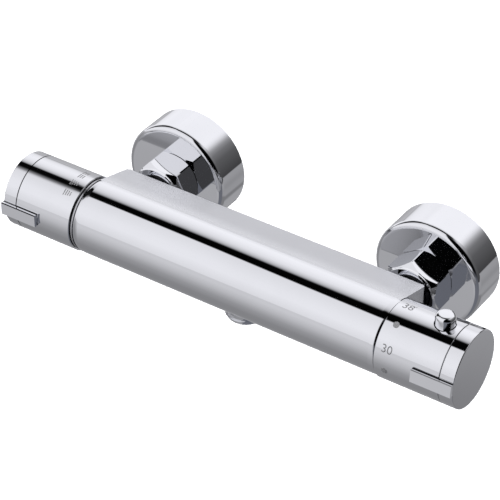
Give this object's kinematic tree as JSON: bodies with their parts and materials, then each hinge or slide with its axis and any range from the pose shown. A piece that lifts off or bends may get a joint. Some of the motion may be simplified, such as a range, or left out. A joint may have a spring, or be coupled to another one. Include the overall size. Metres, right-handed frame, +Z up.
{
  "type": "thermostatic bar shower valve",
  "caption": "Chromed wall-mounted bar with a flow knob, a numbered temperature knob with safety button, nutted eccentric unions, round wall covers and a hose outlet below.",
  "frame": {"origin": "on the finished wall, midway between the two supply tails", "axes": "+X along the bar towards the temperature knob, +Y into the wall, +Z up"},
  "size_m": [0.2616, 0.1066, 0.0588],
  "materials": {
    "chrome_plating": "mirror polished plating on brass",
    "brass": "machined",
    "rubber_seal": "moulded, matt",
    "spring_steel": "bright drawn stainless",
    "white_plastic": "moulded",
    "dark_plastic": "moulded",
    "ceramic_disc": "ground and lapped",
    "wax_copper": "drawn copper alloy"
  },
  "bodies": {
    "valve": {"valve_body": "chrome_plating", "outlet_nipple": "chrome_plating", "left_inlet_tail": "chrome_plating", "right_inlet_tail": "chrome_plating", "left_inlet_washer": "rubber_seal", "right_inlet_washer": "rubber_seal", "left_inlet_strainer": "spring_steel", "right_inlet_strainer": "spring_steel", "left_check_housing": "white_plastic", "right_check_housing": "white_plastic", "left_check_spring": "spring_steel", "right_check_spring": "spring_steel", "left_eccentric_union": "chrome_plating", "right_eccentric_union": "chrome_plating", "left_escutcheon": "chrome_plating", "right_escutcheon": "chrome_plating", "flow_seam_ring": "dark_plastic", "flow_cartridge_housing": "brass", "flow_retaining_nut": "brass", "flow_disc_seal": "rubber_seal", "flow_fixed_disc": "ceramic_disc", "thermostat_housing": "white_plastic", "thermostat_retaining_nut": "brass", "thermostat_return_spring": "spring_steel", "temperature_stop_ring": "dark_plastic", "sealing_rings": "rubber_seal"},
    "flow_knob": {"flow_sleeve": "chrome_plating", "flow_end_cap": "chrome_plating", "flow_spline_insert": "white_plastic", "flow_knob_screw": "spring_steel", "flow_spindle": "brass", "flow_moving_disc": "ceramic_disc"},
    "temperature_knob": {"temperature_sleeve": "chrome_plating", "temperature_end_cap": "chrome_plating", "temperature_spline_insert": "white_plastic", "temperature_knob_screw": "spring_steel", "temperature_spindle": "brass", "safety_button_spring": "spring_steel"},
    "safety_button": {"safety_button": "chrome_plating"},
    "thermostat_piston": {"thermostat_shuttle": "dark_plastic", "thermostat_wax_element": "wax_copper", "thermostat_pusher": "brass"},
    "left_union_nut": {"left_union_nut": "chrome_plating"},
    "right_union_nut": {"right_union_nut": "chrome_plating"},
    "left_check_valve": {"left_check_poppet": "dark_plastic"},
    "right_check_valve": {"right_check_poppet": "dark_plastic"}
  },
  "joints": [
    {"name": "flow_turn", "type": "hinge", "parent": "valve", "child": "flow_knob", "pos_m": [-0.11, -0.0704, 0.006], "axis": [1, 0, 0], "range_deg": [-90, 0]},
    {"name": "temperature_turn", "type": "hinge", "parent": "valve", "child": "temperature_knob", "pos_m": [0.11, -0.0704, 0.006], "axis": [1, 0, 0], "range_deg": [-160, 107]},
    {"name": "safety_button_press", "type": "slide", "parent": "temperature_knob", "child": "safety_button", "axis": [0, 0, -1], "range_m": [0, 0.0025], "stiffness_N_per_m": 400, "springref_m": -0.004, "deforming": ["safety_button_spring"]},
    {"name": "thermostat_slide", "type": "slide", "parent": "valve", "child": "thermostat_piston", "axis": [1, 0, 0], "range_m": [-0.0009, 0.0006], "deforming": ["thermostat_return_spring"]},
    {"name": "left_union_nut_turn", "type": "hinge", "parent": "valve", "child": "left_union_nut", "pos_m": [-0.075, -0.03, 0.006], "axis": [0, 1, 0], "continuous": true},
    {"name": "right_union_nut_turn", "type": "hinge", "parent": "valve", "child": "right_union_nut", "pos_m": [0.075, -0.03, 0.006], "axis": [0, 1, 0], "continuous": true},
    {"name": "left_check_valve_open", "type": "slide", "parent": "valve", "child": "left_check_valve", "axis": [0, -1, 0], "range_m": [0, 0.0022], "stiffness_N_per_m": 60, "springref_m": -0.003, "deforming": ["left_check_spring"]},
    {"name": "right_check_valve_open", "type": "slide", "parent": "valve", "child": "right_check_valve", "axis": [0, -1, 0], "range_m": [0, 0.0022], "stiffness_N_per_m": 60, "springref_m": -0.003, "deforming": ["right_check_spring"]}
  ],
  "couplings": [
    {"joint": "thermostat_slide", "follows": "temperature_turn", "m_per_rad": 0.000318}
  ]
}
